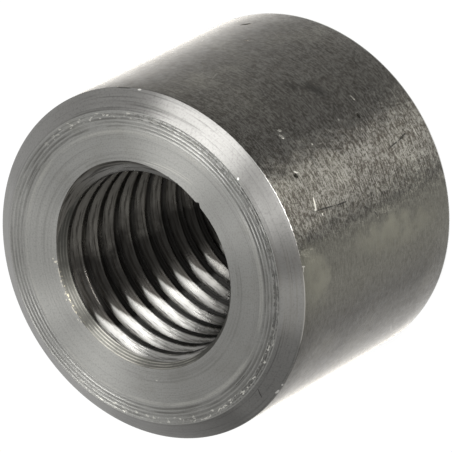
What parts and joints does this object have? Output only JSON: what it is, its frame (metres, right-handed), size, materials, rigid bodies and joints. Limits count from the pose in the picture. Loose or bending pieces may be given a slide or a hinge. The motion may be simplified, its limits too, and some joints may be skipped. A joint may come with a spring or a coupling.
{
  "type": "weld coupling",
  "caption": "Short round steel sleeve with a coarse internal thread right through, a weld bevel round its top end and a plain lower end.",
  "frame": {"origin": "centre of the plain end, on the bore's axis", "axes": "+Z along the bore, towards the bevelled end"},
  "size_m": [0.033, 0.033, 0.025],
  "materials": {
    "steel": "turned and mill finish, uncoated"
  },
  "bodies": {
    "root": {"weld_coupling": "steel"}
  },
  "joints": []
}
